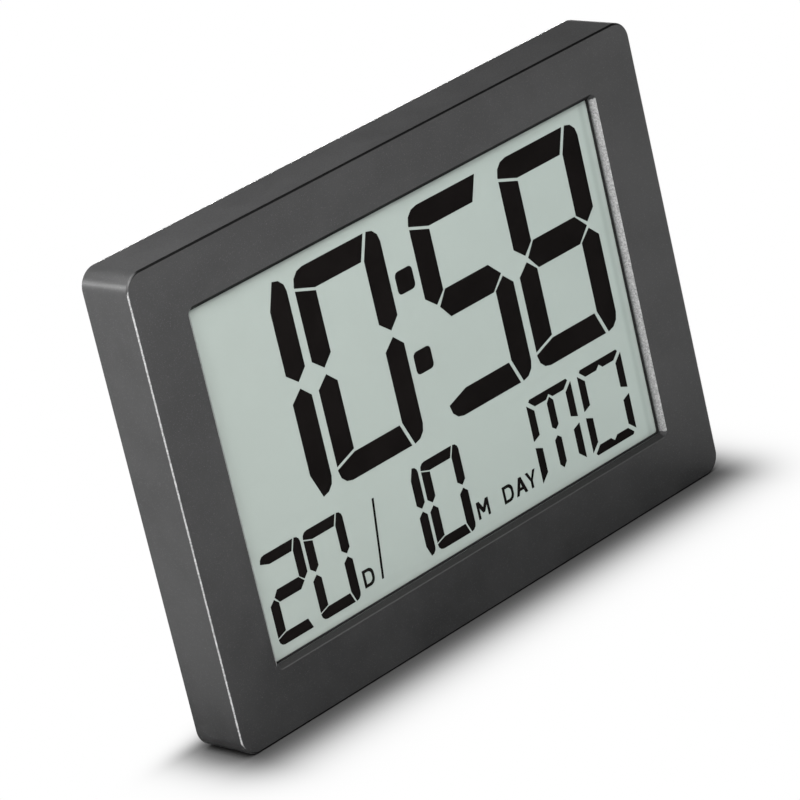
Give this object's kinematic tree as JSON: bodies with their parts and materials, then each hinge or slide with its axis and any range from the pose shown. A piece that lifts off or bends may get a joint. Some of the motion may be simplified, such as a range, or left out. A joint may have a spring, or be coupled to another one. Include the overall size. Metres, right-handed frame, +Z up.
{
  "type": "digital wall clock",
  "caption": "Flat digital wall clock with a wide bezel, a large recessed liquid crystal display, a keyhole hanger, a fold-out stand and a battery bay behind.",
  "frame": {"origin": "middle of the case's footprint, on the surface that the clock stands on", "axes": "+X along the width to the viewer's right, -Y out of the face towards the viewer, +Z up"},
  "size_m": [0.274, 0.026, 0.196],
  "materials": {
    "case_plastic": "satin anthracite with a fine metallic speckle",
    "back_plastic": "fine moulded grain, dark grey",
    "button_plastic": "fine moulded grain, mid grey",
    "gasket_foam": "matt black foam",
    "display_film": "satin polariser film",
    "display_glass": "clear glass",
    "segment_black": "near-black figures under the film",
    "reflector_film": "pale grey-green reflector",
    "frame_plastic": "natural moulded plastic",
    "strip_rubber": "matt silicone rubber",
    "board_laminate": "green solder mask",
    "chip_epoxy": "black epoxy",
    "component_can": "drawn can",
    "contact_steel": "nickel-plated spring steel",
    "screw_steel": "zinc-plated steel",
    "cell_jacket": "printed film jacket, plain",
    "red_wire": "red insulation",
    "black_wire": "black insulation"
  },
  "bodies": {
    "case": {"front_housing": "case_plastic", "window_gasket": "gasket_foam", "front_polariser": "display_film", "front_glass": "display_glass", "segment_layer": "segment_black", "rear_glass": "display_glass", "reflector": "reflector_film", "display_retainer": "frame_plastic", "contact_strip": "strip_rubber", "main_board": "board_laminate", "controller_chip": "chip_epoxy", "clock_crystal": "component_can", "capacitor": "component_can", "mode_switch_body": "chip_epoxy", "set_switch_body": "chip_epoxy", "up_switch_body": "chip_epoxy", "down_switch_body": "chip_epoxy", "upper_cell": "cell_jacket", "lower_cell": "cell_jacket", "positive_contact": "contact_steel", "negative_contact": "contact_steel", "bridge_contact": "contact_steel", "negative_spring": "contact_steel", "bridge_spring": "contact_steel", "red_lead": "red_wire", "black_lead": "black_wire", "rear_cover": "back_plastic", "case_screw_1": "screw_steel", "case_screw_2": "screw_steel", "case_screw_3": "screw_steel", "case_screw_4": "screw_steel", "case_screw_5": "screw_steel", "case_screw_6": "screw_steel", "frame_screw_1": "screw_steel", "frame_screw_2": "screw_steel", "frame_screw_3": "screw_steel", "frame_screw_4": "screw_steel", "board_screw_1": "screw_steel", "board_screw_2": "screw_steel", "board_screw_3": "screw_steel", "board_screw_4": "screw_steel"},
    "lid": {"battery_lid": "back_plastic"},
    "stand": {"stand_leg": "back_plastic"},
    "mode_key": {"mode_button": "button_plastic", "mode_switch_plunger": "frame_plastic"},
    "set_key": {"set_button": "button_plastic", "set_switch_plunger": "frame_plastic"},
    "up_key": {"up_button": "button_plastic", "up_switch_plunger": "frame_plastic"},
    "down_key": {"down_button": "button_plastic", "down_switch_plunger": "frame_plastic"}
  },
  "joints": [
    {"name": "stand_hinge", "type": "hinge", "parent": "case", "child": "stand", "pos_m": [0, 0.0109, 0.1055], "axis": [1, 0, 0], "range_deg": [0, 60]},
    {"name": "lid_hinge", "type": "hinge", "parent": "case", "child": "lid", "pos_m": [-0.0703, 0.0129, 0.0546], "axis": [-1, 0, 0], "range_deg": [0, 70]},
    {"name": "mode_press", "type": "slide", "parent": "case", "child": "mode_key", "axis": [0, -1, 0], "range_m": [0, 0.0006], "stiffness_N_per_m": 1500, "springref_m": -0.0003},
    {"name": "set_press", "type": "slide", "parent": "case", "child": "set_key", "axis": [0, -1, 0], "range_m": [0, 0.0006], "stiffness_N_per_m": 1500, "springref_m": -0.0003},
    {"name": "up_press", "type": "slide", "parent": "case", "child": "up_key", "axis": [0, -1, 0], "range_m": [0, 0.0006], "stiffness_N_per_m": 1500, "springref_m": -0.0003},
    {"name": "down_press", "type": "slide", "parent": "case", "child": "down_key", "axis": [0, -1, 0], "range_m": [0, 0.0006], "stiffness_N_per_m": 1500, "springref_m": -0.0003}
  ]
}
